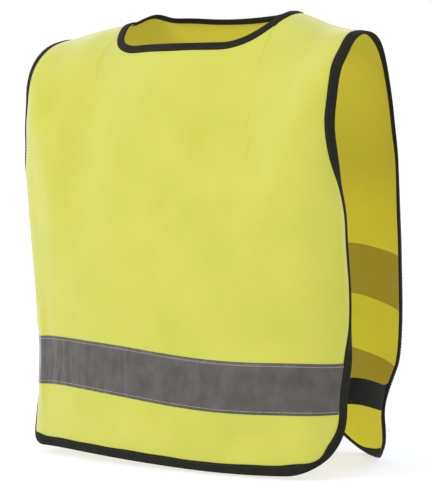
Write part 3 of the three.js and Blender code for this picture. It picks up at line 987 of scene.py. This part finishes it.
def strap_route(hand, rise):
    """A line of the strap, rise above its middle: inside each bound edge and over the gap between."""
    points = []
    for panel, insets in ((FRONT, STRAP_INSETS), (BACK, STRAP_INSETS[::-1])):
        for inset in insets:
            s = np.array([hand * (HALF_WIDTH - inset)])
            z = pattern_height(panel, s, STRAP_HEIGHTS[panel.name] + rise)
            lift = -(CLOTH_HALF + TAPE_STAND + STRAP_THICK / 2)
            points.append(cloth_at(panel, s, level_of(panel, s, z), lift)[0])
    return even_spline(np.array(points), 60)


def build_strap(hand, label):
    node = f"{label}_side_strap"
    half, thick = bpy.context.scene.vest_sizes.strap_width / MM / 2, STRAP_THICK / 2
    low, high = strap_route(hand, -half), strap_route(hand, half)
    line = (low + high) / 2
    up = (high - low) / np.linalg.norm(high - low, axis=1, keepdims=True)
    side = np.cross(up, np.gradient(line, axis=0))
    side /= np.linalg.norm(side, axis=1, keepdims=True)
    section = [(a, thick * (0.75 + 0.25 * math.cos(a * STRAP_RIBS * math.pi)))
               for a in np.linspace(-1, 1, 2 * STRAP_RIBS + 1)]
    section += [(a, -b) for a, b in section[::-1]]
    rings = np.stack([line + up * (a * half) + side * b for a, b in section], axis=1)
    piece = swept_mesh(f"{label}_elastic_strap", rings, path_run(line))
    piece.data.materials.append(material_named("knitted_elastic"))
    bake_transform(piece)
    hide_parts(node)


def build_tack(panel, hand, label):
    """Two short rows of close stitches that hold one end of a strap."""
    lines = []
    for inset in TACK_INSETS:
        z = STRAP_HEIGHTS[panel.name] + np.linspace(-TACK_HALF, TACK_HALF, 12)
        s = np.full_like(z, hand * (HALF_WIDTH - inset))
        q = level_of(panel, s, pattern_height(panel, s, z))
        lines.append(cloth_at(panel, s, q, -(CLOTH_HALF + TAPE_STAND + STRAP_THICK + TACK_LIFT)))
    piece = stitch_row(f"{label}_strap_{panel.name}_bar_tack", lines, "black_thread", TACK_STITCH)
    sew_on(piece, panel, f"{label}_strap_{panel.name}_tack")


def build_seam(hand, label):
    """The felled shoulder seam: a low ridge of cloth with a row of stitches on its back side."""
    s = hand * np.linspace(NECK_S + SEAM_NECK_INSET, CREST_HALF_WIDTH - SEAM_TIP_INSET, 40)
    line = (cloth_point(FRONT, s, top_level(FRONT, s)) + cloth_point(BACK, s, top_level(BACK, s))) / 2
    rings = np.stack([line + np.array([0, a, b]) for a, b in SEAM_SECTION], axis=1)
    piece = swept_mesh(f"{label}_shoulder_seam_fold", rings, np.abs(s))
    piece.data.materials.append(material_named("fluorescent_knit_face"))
    sew_on(piece, BACK, f"{label}_shoulder_seam")
    stitch_line = line + np.array(SEAM_STITCH_OFFSET)
    stitches = stitch_row(f"{label}_shoulder_seam_stitches", [stitch_line], "yellow_thread", SEAM_STITCH)
    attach(stitches, "back")


# ---------------------------------------------------------------- settings


def size(label, note, value):
    return bpy.props.FloatProperty(name=label, description=note, default=value, unit="LENGTH")


def angle(label, note, value):
    return bpy.props.FloatProperty(name=label, description=note, default=value, subtype="ANGLE")


def millimetres(label, note, value):
    return bpy.props.FloatProperty(name=label, description=f"{note}, in millimetres", default=value)


def colour(label, note, value):
    return bpy.props.StringProperty(name=label, description=f"{note}, sRGB hex", default=value)


class VestSizes(bpy.types.PropertyGroup):
    binding_width: size("Binding width", "Width of the folded tape on each face of the cloth", 0.0085)
    neck_binding_width: size("Neck binding width", "Width of the tape round the neck", 0.0072)
    band_height: size("Band height", "Height of each reflective band", 0.05)
    strap_width: size("Strap width", "Width of the side elastics", 0.025)
    stitch_inset: size("Stitch inset", "How far stitches stand inside a band's edge", 0.003)


class VestLooks(bpy.types.PropertyGroup):
    wale_mm: millimetres("Wale spacing", "Distance between columns of loops", 1.6)
    course_mm: millimetres("Course spacing", "Distance between rows of loops", 1.2)
    cloth_dark: colour("Cloth dark", "Darker tone of the yellow", "#b7b945")
    cloth_light: colour("Cloth light", "Lighter tone of the yellow", "#bebf4e")
    # Painted light and shade: tones the inner face is given for its shade and the light through the cloth,
    # on cloth of one colour
    reverse_dark: colour("Reverse dark", "Darker tone of the inner face", "#d1cd38")
    reverse_light: colour("Reverse light", "Lighter tone of the inner face", "#d7d23c")
    # Painted shade of the inner face up by the shoulders
    reverse_upper: colour("Reverse upper", "Inner face up by the shoulders", "#c0b93a")
    # Painted shadow of a band, seen through the cloth on the inner face
    band_shadow_through: colour("Band through", "Inner face where a band backs the cloth", "#908025")
    # Painted light: the glow of the inner face
    glow: colour("Glow", "Light that comes through the cloth", "#f0d84a")
    tape_dark: colour("Tape dark", "Darker tone of the reflective tape", "#3c3833")
    tape_light: colour("Tape light", "Lighter tone of the reflective tape", "#4e4a45")
    binding_dark: colour("Binding dark", "Darker tone of the binding", "#15150f")
    binding_light: colour("Binding light", "Lighter tone of the binding", "#1d1d17")
    elastic_dark: colour("Elastic dark", "Darker tone of the elastic", "#10110b")
    elastic_light: colour("Elastic light", "Lighter tone of the elastic", "#171812")


class VestStage(bpy.types.PropertyGroup):
    azimuth: angle("Azimuth", "Turn of the camera round to the wearer's left", math.radians(35))
    distance: size("Distance", "From the camera to the middle of the vest", CAMERA_AWAY)
    eye: size("Eye height", "Height of the camera above the hem", 0.312)
    tilt: angle("Tilt", "How far the camera looks down", math.atan(0.112 / CAMERA_AWAY))
    pan: angle("Pan", "How far the camera looks to the right", math.atan(0.006 / CAMERA_AWAY))
    lens: millimetres("Lens", "Focal length of the camera", 151.2)


# ---------------------------------------------------------------- operators


class VEST_OT_stage(bpy.types.Operator):
    """Adds the pale floor, the soft lights and the camera"""

    bl_idname = "vest.stage"
    bl_label = "Stage"

    def execute(self, context):
        stage = context.scene.vest_stage
        self.floor()
        self.lights(context)
        camera = bpy.data.objects.new("camera", bpy.data.cameras.new("camera"))
        context.scene.collection.objects.link(camera)
        camera.data.lens = stage.lens
        camera.data.sensor_width = 36
        camera.data.clip_end = 50
        away = Vector((math.sin(stage.azimuth), -math.cos(stage.azimuth), 0))
        place = Matrix.Translation(away * stage.distance + Vector((0, 0, HEM_Z * MM + stage.eye)))
        turn = Matrix.Rotation(stage.azimuth - stage.pan, 4, "Z")
        camera.matrix_world = place @ turn @ Matrix.Rotation(math.pi / 2 - stage.tilt, 4, "X")
        context.scene.camera = camera
        return {"FINISHED"}

    def floor(self):
        mesh = bpy.data.meshes.new("floor")
        corners = [(x * FLOOR_REACH, y * FLOOR_REACH, HEM_Z * MM - FLOOR_DROP)
                   for x, y in ((-1, -1), (1, -1), (1, 1), (-1, 1))]
        mesh.from_pydata(corners, [], [(0, 1, 2, 3)])
        floor = bpy.data.objects.new("floor", mesh)
        bpy.context.scene.collection.objects.link(floor)
        white, pale = (1, 1, 1, 1), (0.41, 0.42, 0.5, 1)
        material, _, _ = new_material("matt_white_floor", Base_Color=pale, Roughness=0.9,
                                      Specular_IOR_Level=0.1, Emission_Color=white, Emission_Strength=0.62)
        mesh.materials.append(material)

    def lights(self, context):
        world = bpy.data.worlds.new("soft_white")
        context.scene.world = world
        world.use_nodes = True
        world.node_tree.nodes["Background"].inputs["Color"].default_value = (1, 1, 1, 1)
        world.node_tree.nodes["Background"].inputs["Strength"].default_value = 1.0
        context.scene.view_settings.view_transform = "Standard"
        for name, place, width, power in LIGHTS:
            data = bpy.data.lights.new(name, "AREA")
            data.size = width
            data.energy = power
            lamp = bpy.data.objects.new(name, data)
            context.scene.collection.objects.link(lamp)
            aim = Vector((0, 0, HEM_Z * MM / 2)) - Vector(place)
            lamp.location = place
            lamp.rotation_euler = aim.to_track_quat("-Z", "Y").to_euler()


class VEST_OT_panels(bpy.types.Operator):
    """Makes the front and back panels of knitted cloth, with their folds"""

    bl_idname = "vest.panels"
    bl_label = "Panels"

    def execute(self, context):
        for panel in (FRONT, BACK):
            piece = build_panel(panel)
            area = panel_area(panel)
        return {"FINISHED"}


def panel_area(panel):
    """Area of the flat cut, in square metres, measured over the body without its folds."""
    s, q = panel_places(panel)
    points = body_point(panel, s, q) * MM
    a = points[1:, :-1] - points[:-1, :-1]
    b = points[:-1, 1:] - points[:-1, :-1]
    return float(np.sum(np.linalg.norm(np.cross(a, b), axis=-1)))


class VEST_OT_bindings(bpy.types.Operator):
    """Makes the black tape that binds the neck, armholes, sides and hem, and its stitching"""

    bl_idname = "vest.bindings"
    bl_label = "Bindings"

    def execute(self, context):
        sizes = context.scene.vest_sizes
        for panel in (FRONT, BACK):
            build_binding(panel, "edge", body_edge_path, sizes.binding_width / MM)
            build_binding(panel, "neck", neck_path, sizes.neck_binding_width / MM)
        return {"FINISHED"}


class VEST_OT_bands(bpy.types.Operator):
    """Makes the reflective bands and the two rows of stitching on each"""

    bl_idname = "vest.bands"
    bl_label = "Reflective bands"

    def execute(self, context):
        for name, (panel, top) in BANDS.items():
            build_band(name, panel, top)
            build_band_stitches(name, panel, top)
        return {"FINISHED"}


class VEST_OT_straps(bpy.types.Operator):
    """Makes the side elastics with the bar tacks at their ends"""

    bl_idname = "vest.straps"
    bl_label = "Side straps"

    def execute(self, context):
        for label, hand in SIDES:
            build_strap(hand, label)
            for panel in (FRONT, BACK):
                build_tack(panel, hand, label)
        return {"FINISHED"}


class VEST_OT_seams(bpy.types.Operator):
    """Makes the shoulder seams that join the two panels"""

    bl_idname = "vest.seams"
    bl_label = "Shoulder seams"

    def execute(self, context):
        for label, hand in SIDES:
            build_seam(hand, label)
        return {"FINISHED"}


class VEST_PT_tools(bpy.types.Panel):
    bl_label = "High Visibility Vest"
    bl_idname = "VEST_PT_tools"
    bl_space_type = "VIEW_3D"
    bl_region_type = "UI"
    bl_category = "Vest"

    def draw(self, context):
        for operator in OPERATORS:
            self.layout.operator(operator.bl_idname)


OPERATORS = (VEST_OT_stage, VEST_OT_panels, VEST_OT_bindings, VEST_OT_bands, VEST_OT_straps, VEST_OT_seams)
CLASSES = (VestSizes, VestLooks, VestStage, *OPERATORS, VEST_PT_tools)


def register():
    for kind in CLASSES:
        bpy.utils.register_class(kind)
    bpy.types.Scene.vest_sizes = bpy.props.PointerProperty(type=VestSizes)
    bpy.types.Scene.vest_looks = bpy.props.PointerProperty(type=VestLooks)
    bpy.types.Scene.vest_stage = bpy.props.PointerProperty(type=VestStage)


def unregister():
    for name in ("vest_sizes", "vest_looks", "vest_stage"):
        delattr(bpy.types.Scene, name)
    for kind in reversed(CLASSES):
        bpy.utils.unregister_class(kind)


def main():
    register()
    bpy.ops.vest.stage()
    bpy.ops.vest.panels()
    bpy.ops.vest.bindings()
    bpy.ops.vest.bands()
    bpy.ops.vest.straps()
    bpy.ops.vest.seams()


if __name__ == "__main__":
    main()
